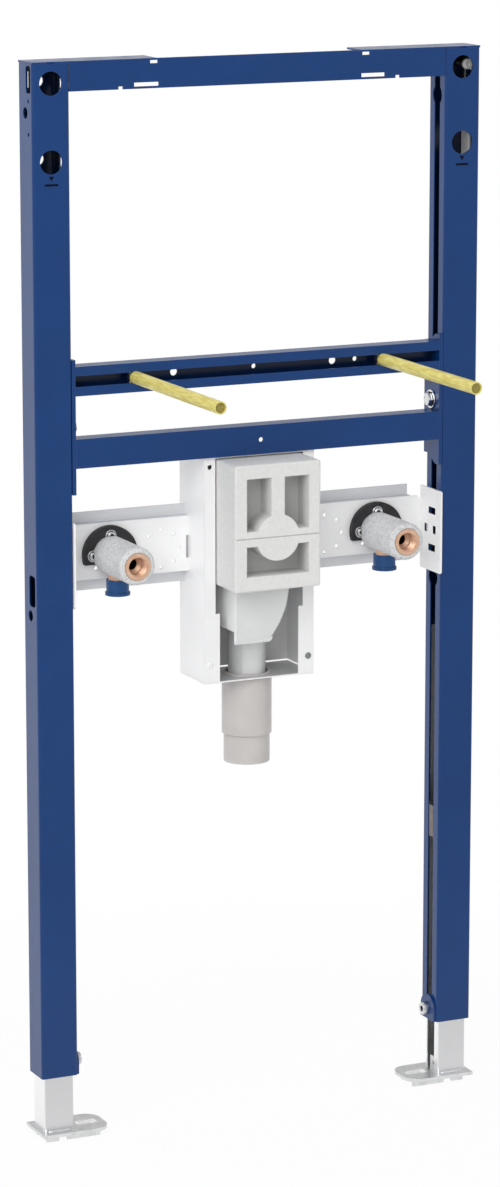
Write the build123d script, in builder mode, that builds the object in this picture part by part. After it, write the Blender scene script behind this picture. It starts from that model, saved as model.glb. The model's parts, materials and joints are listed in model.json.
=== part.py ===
"""Washbasin installation frame: folded steel uprights on telescoping legs, with a fixing rail,
tap connections on bent plates and a trap in a sheet box.

Millimetres. X runs to the right, Y towards the wall, Z up. The origin is on the floor, midway
between the floor slots of the two feet.
"""
import os
from build123d import *

# Overall
frame_width = 500.0
frame_height = 1120.0

# Uprights: folded sheet, open by a slot on the inner face
upright_width = 40.0
upright_depth = 36.0
upright_sheet = 2.0
upright_corner = 2.6
upright_inner_corner = 0.9
upright_slot = 12.0
keyhole_dia = 20.0
keyhole_low = 559.0
keyhole_drop = 51.0
anchor_dia = 24.0
anchor_back_dia = 12.0
anchor_drop = 21.3
anchor_pitch = 78.0
side_slot_width = 12.0
side_slot_length = 31.0
side_slot_drop = 2.0
side_pin_dia = 4.0
side_pin_drops = (39.0, 72.0)
side_hole_dia = 11.5
mid_slot_width = 16.0
mid_slot_length = 32.0
mid_slot_gap = 10.0
side_slot_corner = 3.0
side_slot_setback = 4.0
mid_slot_corner = 4.0
mid_slot_setback = 5.0

# Strips inside the uprights, behind the wall-anchor holes
strip_sheet = 2.0
strip_depth = 16.5
strip_setback = 1.5
strip_top_drop = 10.0
strip_length = 112.0
strip_hole_dia = 4.0
strip_hole_drop = 8.0
strip_notch_drop = 16.0
strip_notch_length = 48.0
strip_spine = 4.0

# Legs and feet
foot_height = 11.0
foot_sheet = 3.5
foot_length = 76.0
foot_depth = 50.0
foot_round = 17.0
foot_overhang = 1.0
foot_slot_width = 12.0
foot_slot_length = 24.0
foot_slot_edge = 7.0
pad_sheet = 4.0
pad_setback = 10.0
heel_pad_length = 13.5
heel_pad_inset = 7.0
toe_pad_length = 37.0
toe_pad_inset = 30.0
leg_width = 33.0
leg_depth = 30.0
leg_sheet = 2.0
leg_corner = 2.6
leg_inner_corner = 0.9
leg_lip = 9.0
leg_length = 493.0
leg_extension = 59.0
foot_tab_width = 13.0
foot_tab_height = 15.0
foot_tab_hole = 4.2

# Clamps that hold the legs
clamp_sheet = 2.4
clamp_width = 31.0
clamp_height = 27.5
clamp_bolt_rise = 12.0
clamp_head_dia = 14.0
clamp_head_length = 7.0
clamp_socket_flats = 6.0
clamp_socket_depth = 4.0
clamp_shank_dia = 8.0
shank_clearance = 0.4

# Top rail
top_rail_height = 30.0
top_rail_sheet = 2.0
top_flange_start = 114.0
top_relief_length = 8.5
top_relief_height = 3.2
top_lip_depth = 10.0
top_lip_start = 152.0
top_notch_length = 5.0
top_notch_height = 3.0
top_lip_gap = 6.0
top_mark_length = 8.0
top_mark_depth = 1.5
web_slot_near = 113.0
web_slot_length = 27.0
web_slot_height = 4.0
web_slot_rise = 2.2

# Crossbars and the plates that carry them
bar_height = 30.0
bar_depth = 20.0
bar_sheet = 2.0
fixing_rail_height = 799.0
lower_bar_height = 725.0
rail_slot = 11.0
rail_hole_dia = 8.0
rail_hole_pitch = 180.0
rail_pin_dia = 5.0
rail_pin_places = (0.0, 116.0)
end_plate_sheet = 4.0
end_plate_depth = 34.0
end_plate_above = 7.0
end_plate_below = 27.0
end_plate_cut = 9.0
end_plate_tall_depth = 9.0
end_plate_slope_depth = 14.0
rail_bolt_gap = 0.5
rail_washer_dia = 20.0
rail_washer_sheet = 1.6
rail_head_flats = 13.0
rail_head_height = 4.4
rail_shank_dia = 8.0
rail_nut_length = 24.0
rail_nut_depth = 18.0
rail_nut_sheet = 5.0
rail_nut_corner = 4.0

# Washbasin rods and their protective sleeves
rod_pitch = 280.0
rod_dia = 10.0
rod_recess = 16.0
rod_block_width = 12.0
rod_block_height = 20.0
rod_block_sheet = 6.0
sleeve_dia = 13.0
sleeve_bore = 10.4
sleeve_length = 206.0

# Tap plates: one bent sheet each, from the upright to the trap box
tap_height = 610.6
tap_pitch = 306.0
tap_plane = 25.0
tap_sheet = 2.0
tap_web_above = 32.4
tap_web_below = 25.6
tap_lip_setback = 12.0
tap_lip_above = 11.0
tap_lip_below = 13.0
tap_lip_end = 13.0
tap_web_corner = 7.0
tap_flange_front = 20.0
tap_flange_above = 43.4
tap_flange_below = 45.1
tap_flange_slot_length = 15.0
tap_flange_slot_height = 7.0
tap_flange_slot_pitch = 40.0
tap_flange_corner = 1.5
tap_small_slot_height = 8.5
tap_small_slot_length = 6.0
tap_small_slot_places = (-5.5, 13.5)
tap_gap_width = 3.2
tap_gap_length = 24.0
ring_dia = 40.0
ring_hole_dia = 4.0
ring_holes = 8
ring_pitch = 59.0

# Tap connections
pad_dia = 60.0
pad_thickness = 6.0
pad_flat = 9.3
screw_head_dia = 12.4
screw_head_height = 3.0
screw_angles = (0.0, 90.0, 180.0)
elbow_dia = 28.0
elbow_bore = 20.6
elbow_bore_depth = 34.0
elbow_proud = 0.6
insulation_dia = 39.5
insulation_length = 70.0
insulation_clearance = 0.3
insulation_round = 4.5
inlet_dia = 19.0
inlet_bore = 14.0
inlet_setback = 17.0
inlet_drop = 30.0
cap_dia = 23.5
cap_rim_dia = 26.0
cap_rim = 3.0
cap_top_drop = 22.4
cap_bottom_drop = 38.6

# Trap box
box_width = 125.0
box_depth = 62.0
box_height = 235.0
box_front = 14.0
box_sheet = 1.5
box_top_sheet = 2.0
box_opening_wide = 100.0
box_opening_narrow = 90.0
box_step_rise = 72.0
box_hole_dia = 5.0
box_hole_top_drop = 8.4
box_hole_rise = 18.0
box_floor_gap = 1.8

# Trap and its outlet
cup_front = 31.0
cup_depth = 50.0
cup_left = 35.0
cup_right = 27.0
cup_drop = 41.0
cup_round = 3.0
shield_bulge = 22.3
shield_bulge_drop = 28.5
shield_tip = 7.5
shield_tip_drop = 55.0
shield_drop = 59.0
shield_sheet = 4.0
neck_axis_y = 11.4
neck_dia = 31.0
neck_in_pipe = 14.0
lug_width = 30.0
lug_height = 24.0
lug_drop = 10.0
outlet_axis_y = 17.5
outlet_sleeve_dia = 52.5
outlet_sleeve_length = 63.0
pipe_dia = 48.6
pipe_wall = 2.0
pipe_length = 95.0
pipe_end_length = 30.0
pipe_relief = 0.3
pipe_rim_dia = 51.4
pipe_rim_height = 1.5
pipe_clearance = 0.4

# Trap cover: moulded block with a barred front
cover_width = 97.0
cover_height = 132.0
cover_drop = 1.0
cover_front = 59.5
cover_back = 5.0
cover_edge = 2.5
cover_round = 2.0
seam_drop = 76.5
seam_height = 0.8
seam_depth = 1.0
cover_pocket = 26.0
window_width = 70.4
window_top_drop = 14.5
window_bottom_rise = 15.6
bar_centre_width = 15.0
bar_cross_width = 15.8
disc_dia = 48.6
disc_drop = 77.2

# Derived planes and places
front_y = -upright_depth / 2
upright_x = (frame_width - upright_width) / 2
inner_x = frame_width / 2 - upright_width
upright_bottom = foot_height + leg_extension
upright_top = frame_height - top_rail_sheet
bar_end_x = inner_x - end_plate_sheet
lower_bar_bottom = lower_bar_height - bar_height / 2
lower_bar_top = lower_bar_height + bar_height / 2
box_top = lower_bar_bottom - box_top_sheet
box_bottom = box_top - box_height
box_half = box_width / 2
rail_bolt_z = lower_bar_top + rail_bolt_gap + rail_washer_dia / 2
clamp_bolt_z = upright_bottom + clamp_bolt_rise
tap_pad_front = tap_plane - pad_thickness
floor_bottom = box_bottom - box_sheet
past_wall = 3 * upright_sheet

os.makedirs("parts", exist_ok=True)


def save(builder, name):
    """Label a finished piece and write it."""
    builder.part.label = name
    export_step(builder.part, f"parts/{name}.step")


def save_pair(right, name):
    """Write a right-hand piece and its mirror image on the left."""
    save(right, f"right_{name}")
    with BuildPart() as left:
        mirror(right.part, about=Plane.YZ)
    save(left, f"left_{name}")


def facing_front(x, y, z):
    """A plane at a point, looking towards the room, for holes drilled towards the wall."""
    return Plane((x, y, z), x_dir=(1, 0, 0), z_dir=(0, -1, 0))


def facing_inwards(x, y, z):
    """A plane at a point of the right half, looking at the middle of the frame."""
    return Plane((x, y, z), x_dir=(0, -1, 0), z_dir=(-1, 0, 0))


def facing_outwards(x, y, z):
    """A plane at a point of the right half, looking away from the middle of the frame."""
    return Plane((x, y, z), x_dir=(0, 1, 0), z_dir=(1, 0, 0))


# Upright with its slot, keyholes, wall-anchor holes and side slots
with BuildPart() as upright:
    with BuildSketch(Plane.XY.offset(upright_bottom)):
        with Locations((upright_x, 0)):
            RectangleRounded(upright_width, upright_depth, upright_corner)
            RectangleRounded(
                upright_width - 2 * upright_sheet,
                upright_depth - 2 * upright_sheet,
                upright_inner_corner,
                mode=Mode.SUBTRACT,
            )
        with Locations((inner_x, 0)):
            Rectangle(past_wall, upright_slot, mode=Mode.SUBTRACT)
    extrude(amount=upright_top - upright_bottom)
    anchor_heights = (frame_height - anchor_drop, frame_height - anchor_drop - anchor_pitch)
    with Locations(*[facing_front(upright_x, front_y, z) for z in anchor_heights]):
        Hole(anchor_dia / 2, depth=upright_sheet * 2)
    with Locations(*[facing_front(upright_x, 0, z) for z in anchor_heights]):
        Hole(anchor_back_dia / 2, depth=upright_depth)
    keyhole_heights = (keyhole_low, frame_height - keyhole_drop)
    with Locations(*[facing_inwards(inner_x, 0, z) for z in keyhole_heights]):
        Hole(keyhole_dia / 2, depth=upright_sheet * 2)
    outer_x = frame_width / 2
    side_slot_y = front_y + side_slot_setback + side_slot_width / 2
    side_slot_z = frame_height - side_slot_drop - side_slot_length / 2
    with BuildSketch(facing_outwards(outer_x, side_slot_y, side_slot_z)):
        RectangleRounded(side_slot_width, side_slot_length - 2 * top_rail_sheet, side_slot_corner)
    extrude(amount=-2 * upright_sheet, mode=Mode.SUBTRACT)
    with Locations(*[facing_outwards(outer_x, side_slot_y, frame_height - d) for d in side_pin_drops]):
        Hole(side_pin_dia / 2, depth=upright_sheet * 2)
    with Locations(*[facing_outwards(outer_x, 0, z) for z in keyhole_heights]):
        Hole(side_hole_dia / 2, depth=upright_sheet * 2)
    mid_slot_z = keyhole_low + mid_slot_gap + mid_slot_length / 2
    mid_slot_y = front_y + mid_slot_setback + mid_slot_width / 2
    with BuildSketch(facing_outwards(outer_x, mid_slot_y, mid_slot_z)):
        RectangleRounded(mid_slot_width, mid_slot_length, mid_slot_corner)
    extrude(amount=-2 * upright_sheet, mode=Mode.SUBTRACT)
save_pair(upright, "upright")

# Strip on the outer wall inside the upright, notched between the wall-anchor holes
with BuildPart() as anchor_strip:
    strip_top = frame_height - strip_top_drop
    strip_x = frame_width / 2 - upright_sheet
    strip_back = upright_depth / 2 - upright_sheet - strip_setback
    strip_front = strip_back - strip_depth
    notch_depth = strip_depth - strip_spine
    with BuildSketch(Plane.YZ.offset(strip_x)):
        with Locations(((strip_back + strip_front) / 2, strip_top - strip_length / 2)):
            Rectangle(strip_depth, strip_length)
        notch_z = strip_top - strip_notch_drop - strip_notch_length / 2
        with Locations((strip_front + notch_depth / 2, notch_z)):
            Rectangle(notch_depth, strip_notch_length, mode=Mode.SUBTRACT)
    extrude(amount=-strip_sheet)
    strip_hole_y = (strip_back + strip_front) / 2
    strip_holes = [strip_top - strip_hole_drop, strip_top - strip_length + strip_hole_drop]
    with Locations(*[facing_inwards(strip_x, strip_hole_y, z) for z in strip_holes]):
        Hole(strip_hole_dia / 2, depth=2 * strip_sheet)
save_pair(anchor_strip, "anchor_strip")

# Top rail: front web between the uprights, top flanges that lap over them, short bottom lips
with BuildPart() as top_rail:
    rail_bottom = frame_height - top_rail_height
    with BuildSketch(Plane.XZ.offset(-front_y)):
        with Locations((0, frame_height - top_rail_height / 2)):
            Rectangle(2 * inner_x, top_rail_height)
        slot_centre = web_slot_near + web_slot_length / 2
        slot_z = rail_bottom + web_slot_rise + web_slot_height / 2
        with Locations(*[(s * slot_centre, slot_z) for s in (-1, 1)]):
            Rectangle(web_slot_length, web_slot_height, mode=Mode.SUBTRACT)
        notch_centre = top_lip_start + top_notch_length / 2
        with Locations(*[(s * notch_centre, rail_bottom) for s in (-1, 1)]):
            Rectangle(top_notch_length, 2 * top_notch_height, mode=Mode.SUBTRACT)
        relief_centre = top_flange_start + top_relief_length / 2
        relief_z = frame_height - top_rail_sheet - top_relief_height / 2
        with Locations(*[(s * relief_centre, relief_z) for s in (-1, 1)]):
            Rectangle(top_relief_length, top_relief_height, mode=Mode.SUBTRACT)
    extrude(amount=-top_rail_sheet)
    flange_length = frame_width / 2 - top_flange_start
    with BuildSketch(Plane.XY.offset(frame_height - top_rail_sheet)):
        with Locations(*[(s * (top_flange_start + flange_length / 2), 0) for s in (-1, 1)]):
            Rectangle(flange_length, upright_depth)
        with Locations(*[(s * upright_x, front_y) for s in (-1, 1)]):
            Rectangle(top_mark_length, 2 * top_mark_depth, mode=Mode.SUBTRACT)
    extrude(amount=top_rail_sheet)
    lip_near = top_lip_start + top_notch_length + top_lip_gap
    with BuildSketch(Plane.XY.offset(rail_bottom)):
        with Locations(*[(s * (lip_near + inner_x) / 2, front_y + top_lip_depth / 2) for s in (-1, 1)]):
            Rectangle(inner_x - lip_near, top_lip_depth)
    extrude(amount=top_rail_sheet)
save(top_rail, "top_rail")

# Fixing rail: channel with a slot in front and holes in its back
with BuildPart() as fixing_rail:
    with BuildSketch(Plane.YZ.offset(-bar_end_x)):
        with Locations((front_y + bar_depth / 2, fixing_rail_height)):
            Rectangle(bar_depth, bar_height)
            Rectangle(bar_depth - 2 * bar_sheet, bar_height - 2 * bar_sheet, mode=Mode.SUBTRACT)
        with Locations((front_y, fixing_rail_height)):
            Rectangle(3 * bar_sheet, rail_slot, mode=Mode.SUBTRACT)
    extrude(amount=2 * bar_end_x)
    with Locations(*[facing_front(s * rail_hole_pitch / 2, 0, fixing_rail_height) for s in (-1, 1)]):
        Hole(rail_hole_dia / 2, depth=bar_depth)
    with Locations(*[facing_front(x, 0, fixing_rail_height) for x in rail_pin_places]):
        Hole(rail_pin_dia / 2, depth=bar_depth)
save(fixing_rail, "fixing_rail")

# Lower crossbar: channel open towards the wall
with BuildPart() as lower_crossbar:
    with BuildSketch(Plane.YZ.offset(-bar_end_x)):
        with Locations((front_y + bar_depth / 2, lower_bar_height)):
            Rectangle(bar_depth, bar_height)
        with Locations((front_y + bar_sheet + bar_depth / 2, lower_bar_height)):
            Rectangle(bar_depth, bar_height - 2 * bar_sheet, mode=Mode.SUBTRACT)
    extrude(amount=2 * bar_end_x)
    with Locations(facing_front(0, front_y, lower_bar_height)):
        Hole(rail_pin_dia / 2, depth=2 * bar_sheet)
save(lower_crossbar, "lower_crossbar")

# End plate that carries both crossbars on the upright's inner face
with BuildPart() as end_plate:
    plate_bottom = lower_bar_bottom - end_plate_below
    plate_top = fixing_rail_height + bar_height / 2 + end_plate_above
    plate_back = front_y + end_plate_depth
    tall_back = front_y + end_plate_tall_depth
    slope_back = tall_back + end_plate_slope_depth
    with BuildSketch(Plane.YZ.offset(bar_end_x)):
        with BuildLine():
            Polyline(
                (front_y, plate_bottom),
                (tall_back, plate_bottom),
                (slope_back, plate_bottom + end_plate_cut),
                (plate_back, plate_bottom + end_plate_cut),
                (plate_back, plate_top - end_plate_cut),
                (slope_back, plate_top - end_plate_cut),
                (tall_back, plate_top),
                (front_y, plate_top),
                close=True,
            )
        make_face()
    extrude(amount=end_plate_sheet)
    with Locations(facing_inwards(bar_end_x, 0, rail_bolt_z)):
        Hole(rail_shank_dia / 2 + shank_clearance, depth=2 * end_plate_sheet)
save_pair(end_plate, "end_plate")

# Bolt through the end plate: washer, hexagon head, shank and the nut behind the slot's edges
with BuildPart() as rail_bolt:
    with BuildSketch(facing_inwards(bar_end_x, 0, rail_bolt_z)):
        Circle(rail_washer_dia / 2)
    extrude(amount=rail_washer_sheet)
    with BuildSketch(facing_inwards(bar_end_x - rail_washer_sheet, 0, rail_bolt_z)):
        RegularPolygon(rail_head_flats / 2, 6, major_radius=False)
    extrude(amount=rail_head_height)
    with BuildSketch(facing_outwards(bar_end_x, 0, rail_bolt_z)):
        Circle(rail_shank_dia / 2)
    extrude(amount=end_plate_sheet + upright_sheet)
    with BuildSketch(facing_outwards(inner_x + upright_sheet, 0, rail_bolt_z)):
        RectangleRounded(rail_nut_depth, rail_nut_length, rail_nut_corner)
    extrude(amount=rail_nut_sheet)
save_pair(rail_bolt, "rail_bolt")

# Clamp tab with an arched top, at the foot of the upright
with BuildPart() as clamp_tab:
    with BuildSketch(facing_inwards(inner_x, 0, upright_bottom)):
        with Locations((0, (clamp_height - clamp_width / 2) / 2)):
            Rectangle(clamp_width, clamp_height - clamp_width / 2)
        with Locations((0, clamp_height - clamp_width / 2)):
            Circle(clamp_width / 2)
        with Locations((0, -clamp_width / 2)):
            Rectangle(2 * clamp_width, clamp_width, mode=Mode.SUBTRACT)
    extrude(amount=clamp_sheet)
    with Locations(facing_inwards(inner_x - clamp_sheet, 0, clamp_bolt_z)):
        Hole(clamp_shank_dia / 2 + shank_clearance, depth=2 * clamp_sheet)
save_pair(clamp_tab, "clamp_tab")

# Clamp bolt with a socket head
with BuildPart() as clamp_bolt:
    with BuildSketch(facing_inwards(inner_x - clamp_sheet, 0, clamp_bolt_z)):
        Circle(clamp_head_dia / 2)
    extrude(amount=clamp_head_length)
    with BuildSketch(facing_inwards(inner_x - clamp_sheet - clamp_head_length, 0, clamp_bolt_z)):
        RegularPolygon(clamp_socket_flats / 2, 6, major_radius=False)
    extrude(amount=-clamp_socket_depth, mode=Mode.SUBTRACT)
    with BuildSketch(facing_outwards(inner_x - clamp_sheet, 0, clamp_bolt_z)):
        Circle(clamp_shank_dia / 2)
    extrude(amount=clamp_sheet + upright_sheet)
save_pair(clamp_bolt, "clamp_bolt")

# Leg: channel that slides inside the upright, open inwards behind its front lip
with BuildPart() as leg:
    with BuildSketch(Plane.XY.offset(foot_height)):
        with Locations((upright_x, 0)):
            RectangleRounded(leg_width, leg_depth, leg_corner)
            RectangleRounded(
                leg_width - 2 * leg_sheet, leg_depth - 2 * leg_sheet, leg_inner_corner, mode=Mode.SUBTRACT
            )
        leg_opening = leg_depth - leg_sheet - leg_corner - leg_lip
        with Locations((upright_x - leg_width / 2, leg_lip + leg_opening / 2 - leg_depth / 2)):
            Rectangle(3 * leg_sheet, leg_opening, mode=Mode.SUBTRACT)
    extrude(amount=leg_length)
save_pair(leg, "leg")

# Foot plate: rounded towards the middle, slotted for the floor bolt, on bent-down pads
with BuildPart() as foot_plate:
    foot_outer_x = upright_x + leg_width / 2 + foot_overhang + (upright_width - leg_width) / 2
    foot_inner_x = foot_outer_x - foot_length
    with BuildSketch(Plane.XY.offset(foot_height - foot_sheet)) as foot_outline:
        with Locations(((foot_outer_x + foot_inner_x) / 2, 0)):
            Rectangle(foot_length, foot_depth)
        fillet(foot_outline.vertices().group_by(Axis.X)[0], radius=foot_round)
    extrude(amount=foot_sheet)
    foot_slot_x = foot_inner_x + foot_slot_edge + foot_slot_length / 2
    with BuildSketch(Plane.XY.offset(foot_height)):
        with Locations((foot_slot_x, 0)):
            SlotOverall(foot_slot_length, foot_slot_width)
    extrude(amount=-2 * foot_sheet, mode=Mode.SUBTRACT)
    heel_x = foot_outer_x - heel_pad_inset - heel_pad_length / 2
    toe_x = foot_outer_x - toe_pad_inset - toe_pad_length / 2
    pad_y = (foot_depth - pad_sheet) / 2 - pad_setback
    with BuildSketch(Plane.XY):
        with Locations(*[(heel_x, s * pad_y) for s in (-1, 1)]):
            Rectangle(heel_pad_length, pad_sheet)
        with Locations(*[(toe_x, s * pad_y) for s in (-1, 1)]):
            Rectangle(toe_pad_length, pad_sheet)
    extrude(amount=foot_height - foot_sheet)
    tab_x = upright_x - leg_width / 2 + leg_sheet
    with BuildSketch(facing_inwards(tab_x, 0, foot_height + foot_tab_height / 2)):
        Rectangle(foot_tab_width, foot_tab_height)
        Circle(foot_tab_hole / 2, mode=Mode.SUBTRACT)
    extrude(amount=-leg_sheet)
save_pair(foot_plate, "foot_plate")

# Washbasin rod: screwed into a block behind the slot of the fixing rail
with BuildPart() as threaded_rod:
    rod_x = rod_pitch / 2
    sleeve_end_y = front_y - sleeve_length
    with BuildSketch(facing_front(rod_x, front_y + bar_sheet, fixing_rail_height)):
        Circle(rod_dia / 2)
    extrude(amount=front_y + bar_sheet - sleeve_end_y - rod_recess)
    with BuildSketch(facing_front(rod_x, front_y + bar_sheet, fixing_rail_height)):
        Rectangle(rod_block_width, rod_block_height)
    extrude(amount=-rod_block_sheet)
save_pair(threaded_rod, "threaded_rod")

# Protective sleeve over the rod, up to the rail
with BuildPart() as rod_sleeve:
    with BuildSketch(facing_front(rod_x, front_y, fixing_rail_height)):
        Circle(sleeve_dia / 2)
        Circle(sleeve_bore / 2, mode=Mode.SUBTRACT)
    extrude(amount=sleeve_length)
save_pair(rod_sleeve, "rod_sleeve")

# Tap plate: stepped sheet from the trap box to a flange on the upright's inner face
with BuildPart() as tap_plate:
    web_top = tap_height + tap_web_above
    web_bottom = tap_height - tap_web_below
    lip_y = tap_plane + tap_lip_setback
    with BuildSketch(Plane.YZ.offset(box_half)):
        with BuildLine():
            Polyline(
                (lip_y + tap_sheet, web_top + tap_lip_above),
                (lip_y, web_top + tap_lip_above),
                (lip_y, web_top),
                (tap_plane, web_top),
                (tap_plane, web_bottom),
                (lip_y, web_bottom),
                (lip_y, web_bottom - tap_lip_below),
                (lip_y + tap_sheet, web_bottom - tap_lip_below),
                (lip_y + tap_sheet, web_bottom + tap_sheet),
                (tap_plane + tap_sheet, web_bottom + tap_sheet),
                (tap_plane + tap_sheet, web_top - tap_sheet),
                (lip_y + tap_sheet, web_top - tap_sheet),
                close=True,
            )
        make_face()
    extrude(amount=inner_x - box_half)
    lip_end_x = inner_x - tap_lip_end
    with BuildSketch(Plane.YZ.offset(lip_end_x)):
        with Locations((lip_y + tap_sheet / 2, tap_height)):
            Rectangle(2 * tap_lip_setback - tap_sheet, 4 * tap_web_above)
    extrude(amount=tap_lip_end, mode=Mode.SUBTRACT)
    with BuildSketch(facing_front(inner_x, tap_plane, web_top)):
        with BuildLine():
            Polyline((0, 0), (-tap_web_corner, 0), (0, -tap_web_corner), close=True)
        make_face()
    extrude(amount=-tap_sheet, mode=Mode.SUBTRACT)
    with BuildSketch(facing_front(box_half, tap_plane, tap_height)):
        Rectangle(2 * tap_gap_width, tap_gap_length)
    extrude(amount=-tap_sheet, mode=Mode.SUBTRACT)
    flange_top = tap_height + tap_flange_above
    flange_bottom = tap_height - tap_flange_below
    flange_back = tap_plane + tap_sheet
    flange_y = (flange_back - tap_flange_front) / 2
    with BuildSketch(facing_inwards(inner_x, flange_y, (flange_top + flange_bottom) / 2)) as flange_outline:
        Rectangle(flange_back + tap_flange_front, flange_top - flange_bottom)
        chamfer(flange_outline.vertices().group_by(Axis.X)[-1], length=tap_flange_corner)
    extrude(amount=tap_sheet)
    with BuildSketch(facing_inwards(inner_x - tap_sheet, 0, tap_height)):
        with Locations((0, tap_flange_slot_pitch / 2), (0, -tap_flange_slot_pitch / 2)):
            RectangleRounded(tap_flange_slot_length, tap_flange_slot_height, tap_flange_corner)
        with Locations(*[(-y, 0) for y in tap_small_slot_places]):
            Rectangle(tap_small_slot_length, tap_small_slot_height)
    extrude(amount=-2 * tap_sheet, mode=Mode.SUBTRACT)
    ring_places = [facing_front(tap_pitch / 2 - n * ring_pitch, tap_plane, tap_height) for n in (0, 1)]
    for ring_place in ring_places:
        with BuildSketch(ring_place):
            with PolarLocations(ring_dia / 2, ring_holes):
                Circle(ring_hole_dia / 2)
        extrude(amount=-2 * tap_sheet, mode=Mode.SUBTRACT)
save_pair(tap_plate, "tap_plate")

# Sound pad between the tap connection and its plate, cut flat below
tap_x = tap_pitch / 2
with BuildPart() as sound_pad:
    with BuildSketch(facing_front(tap_x, tap_plane, tap_height)):
        Circle(pad_dia / 2)
        with Locations((0, -pad_flat - pad_dia / 2)):
            Rectangle(2 * pad_dia, pad_dia, mode=Mode.SUBTRACT)
    extrude(amount=pad_thickness)
save_pair(sound_pad, "sound_pad")

# Screws that hold the tap connection through the pad
with BuildPart() as tap_screws:
    with BuildSketch(facing_front(tap_x, tap_pad_front, tap_height)):
        for screw_angle in screw_angles:
            with PolarLocations(ring_dia / 2, 1, start_angle=screw_angle):
                Circle(screw_head_dia / 2)
        Circle(insulation_dia / 2 + insulation_clearance, mode=Mode.SUBTRACT)
        with Locations((0, -pad_flat - pad_dia / 2)):
            Rectangle(2 * pad_dia, pad_dia, mode=Mode.SUBTRACT)
    extrude(amount=screw_head_height)
save_pair(tap_screws, "tap_screws")

# Tap elbow: bored towards the room, with its inlet turned down
with BuildPart() as tap_elbow:
    elbow_front = tap_pad_front - insulation_length - elbow_proud
    with BuildSketch(facing_front(tap_x, tap_pad_front, tap_height)):
        Circle(elbow_dia / 2)
    extrude(amount=tap_pad_front - elbow_front)
    inlet_y = tap_pad_front - inlet_setback
    with BuildSketch(Plane((tap_x, inlet_y, tap_height), z_dir=(0, 0, -1))):
        Circle(inlet_dia / 2)
    extrude(amount=inlet_drop)
    with Locations(facing_front(tap_x, elbow_front, tap_height)):
        Hole(elbow_bore / 2, depth=elbow_bore_depth)
    with Locations(Plane((tap_x, inlet_y, tap_height - inlet_drop), z_dir=(0, 0, -1))):
        Hole(inlet_bore / 2, depth=inlet_drop)
save_pair(tap_elbow, "tap_elbow")

# Insulating sleeve round the elbow, open below for the inlet
with BuildPart() as tap_insulation:
    with BuildSketch(facing_front(tap_x, tap_pad_front, tap_height)):
        Circle(insulation_dia / 2)
        Circle(elbow_dia / 2 + insulation_clearance, mode=Mode.SUBTRACT)
    extrude(amount=insulation_length)
    mouth_edges = tap_insulation.faces().sort_by(Axis.Y)[0].edges().sort_by(SortBy.RADIUS)
    fillet(mouth_edges[-1], radius=insulation_round)
    with BuildSketch(Plane((tap_x, inlet_y, tap_height), z_dir=(0, 0, -1))):
        Circle(inlet_dia / 2 + insulation_clearance)
    extrude(amount=insulation_dia, mode=Mode.SUBTRACT)
save_pair(tap_insulation, "tap_insulation")

# Cap on the inlet
with BuildPart() as inlet_cap:
    cap_height = cap_bottom_drop - cap_top_drop
    with BuildSketch(Plane((tap_x, inlet_y, tap_height - cap_top_drop), z_dir=(0, 0, -1))):
        Circle(cap_dia / 2)
    extrude(amount=cap_height)
    with BuildSketch(Plane((tap_x, inlet_y, tap_height - cap_bottom_drop), z_dir=(0, 0, 1))):
        Circle(cap_rim_dia / 2)
    extrude(amount=cap_rim)
    with Locations(Plane((tap_x, inlet_y, tap_height - cap_top_drop), z_dir=(0, 0, 1))):
        Hole(inlet_dia / 2 + insulation_clearance, depth=inlet_drop - cap_top_drop)
save_pair(inlet_cap, "inlet_cap")

# Trap box: back, sides and front flanges of one folded sheet
with BuildPart() as trap_box:
    box_centre_y = box_depth / 2 - box_front
    with BuildSketch(Plane.XY.offset(box_bottom)):
        with Locations((0, box_centre_y)):
            Rectangle(box_width, box_depth)
            Rectangle(box_width - 2 * box_sheet, box_depth - 2 * box_sheet, mode=Mode.SUBTRACT)
        with Locations((0, -box_front)):
            Rectangle(box_opening_narrow, 3 * box_sheet, mode=Mode.SUBTRACT)
    extrude(amount=box_height)
    step_height = box_height - box_step_rise
    with BuildSketch(facing_front(0, -box_front, box_top - step_height / 2)):
        Rectangle(box_opening_wide, step_height)
    extrude(amount=-2 * box_sheet, mode=Mode.SUBTRACT)
    with BuildSketch(Plane.XY.offset(box_bottom)):
        with Locations((0, box_centre_y + box_sheet)):
            Rectangle(2 * box_width, box_depth)
    extrude(amount=box_floor_gap, mode=Mode.SUBTRACT)
    flange_hole_x = (box_width + box_opening_wide) / 4
    for flange_hole_z in (box_bottom + box_hole_rise, box_top - box_hole_top_drop):
        with Locations(*[facing_front(s * flange_hole_x, -box_front, flange_hole_z) for s in (-1, 1)]):
            Hole(box_hole_dia / 2, depth=2 * box_sheet)
save(trap_box, "trap_box")

# Plate over the trap box, under the lower crossbar
with BuildPart() as trap_box_lid:
    with BuildSketch(Plane.XY.offset(box_top)):
        with Locations((0, box_centre_y)):
            Rectangle(box_width, box_depth)
    extrude(amount=box_top_sheet)
save(trap_box_lid, "trap_box_lid")

# Floor of the trap box, open for the outlet pipe
with BuildPart() as trap_box_floor:
    with BuildSketch(Plane.XY.offset(floor_bottom)):
        with Locations((0, box_centre_y)):
            Rectangle(box_width, box_depth)
        with Locations((0, outlet_axis_y)):
            Circle(pipe_dia / 2 + pipe_clearance, mode=Mode.SUBTRACT)
    extrude(amount=box_sheet)
save(trap_box_floor, "trap_box_floor")

# Outlet sleeve under the floor of the box
with BuildPart() as outlet_sleeve:
    with BuildSketch(Plane.XY.offset(floor_bottom)):
        with Locations((0, outlet_axis_y)):
            Circle(outlet_sleeve_dia / 2)
            Circle(pipe_dia / 2 + pipe_clearance, mode=Mode.SUBTRACT)
    extrude(amount=-outlet_sleeve_length)
save(outlet_sleeve, "outlet_sleeve")

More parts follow.
